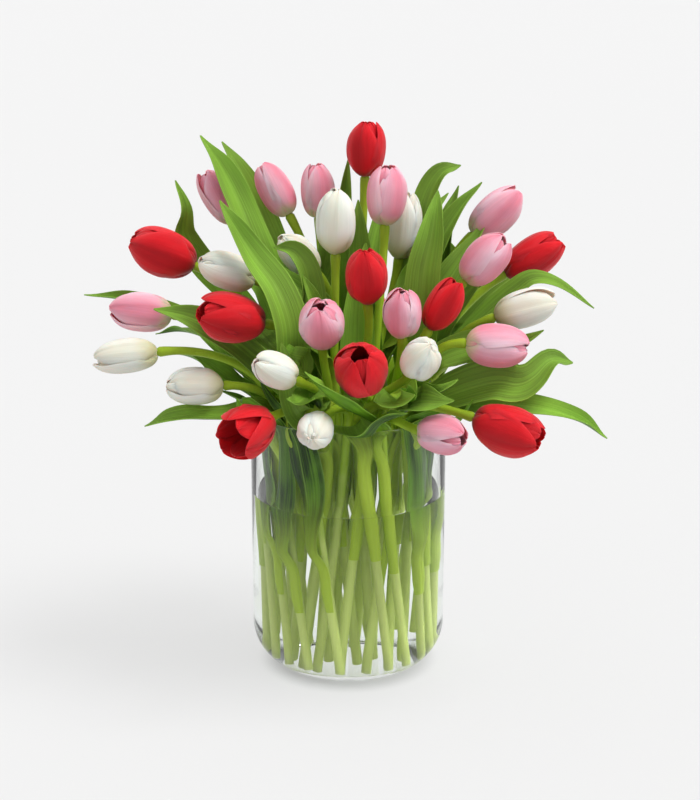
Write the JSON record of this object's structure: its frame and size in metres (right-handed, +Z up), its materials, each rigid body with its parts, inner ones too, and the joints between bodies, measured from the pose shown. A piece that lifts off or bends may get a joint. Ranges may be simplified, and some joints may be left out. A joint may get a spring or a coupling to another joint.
{
  "type": "tulips in a glass vase",
  "caption": "Fresh cut red, pink and white tulips with long green leaves, standing in water in a round clear glass vase.",
  "frame": {"origin": "middle of the vase's foot, on the surface that it stands on", "axes": "+Z up, -Y towards the side that the bouquet faces, +X to the right of someone looking at that side"},
  "size_m": [0.4195, 0.3129, 0.449],
  "materials": {
    "glass": "polished",
    "water": "gloss",
    "red_tulip": "satin",
    "pink_tulip": "satin",
    "white_tulip": "satin",
    "leaf": "satin"
  },
  "bodies": {
    "root": {"leaf_01": "leaf", "leaf_02": "leaf", "leaf_03": "leaf", "leaf_04": "leaf", "leaf_05": "leaf", "leaf_06": "leaf", "leaf_07": "leaf", "leaf_08": "leaf", "leaf_09": "leaf", "leaf_10": "leaf", "leaf_11": "leaf", "leaf_12": "leaf", "leaf_13": "leaf", "leaf_14": "leaf", "leaf_15": "leaf", "leaf_16": "leaf", "leaf_17": "leaf", "leaf_18": "leaf", "leaf_19": "leaf", "leaf_20": "leaf", "leaf_21": "leaf", "leaf_22": "leaf", "leaf_23": "leaf", "leaf_24": "leaf", "leaf_25": "leaf", "tulip_01_red": "red_tulip", "tulip_02_pink": "pink_tulip", "tulip_03_pink": "pink_tulip", "tulip_04_pink": "pink_tulip", "tulip_05_pink": "pink_tulip", "tulip_06_white": "white_tulip", "tulip_07_white": "white_tulip", "tulip_08_pink": "pink_tulip", "tulip_09_white": "white_tulip", "tulip_10_red": "red_tulip", "tulip_11_white": "white_tulip", "tulip_12_pink": "pink_tulip", "tulip_13_red": "red_tulip", "tulip_14_red": "red_tulip", "tulip_15_pink": "pink_tulip", "tulip_16_red": "red_tulip", "tulip_17_white": "white_tulip", "tulip_18_pink": "pink_tulip", "tulip_19_red": "red_tulip", "tulip_20_pink": "pink_tulip", "tulip_21_pink": "pink_tulip", "tulip_22_white": "white_tulip", "tulip_23_white": "white_tulip", "tulip_24_red": "red_tulip", "tulip_25_white": "white_tulip", "tulip_26_white": "white_tulip", "tulip_27_red": "red_tulip", "tulip_28_white": "white_tulip", "tulip_29_pink": "pink_tulip", "tulip_30_red": "red_tulip", "tulip_31_white": "white_tulip", "tulip_32_red": "red_tulip", "tulip_33_pink": "pink_tulip", "vase": "glass", "water": "water"}
  },
  "joints": []
}
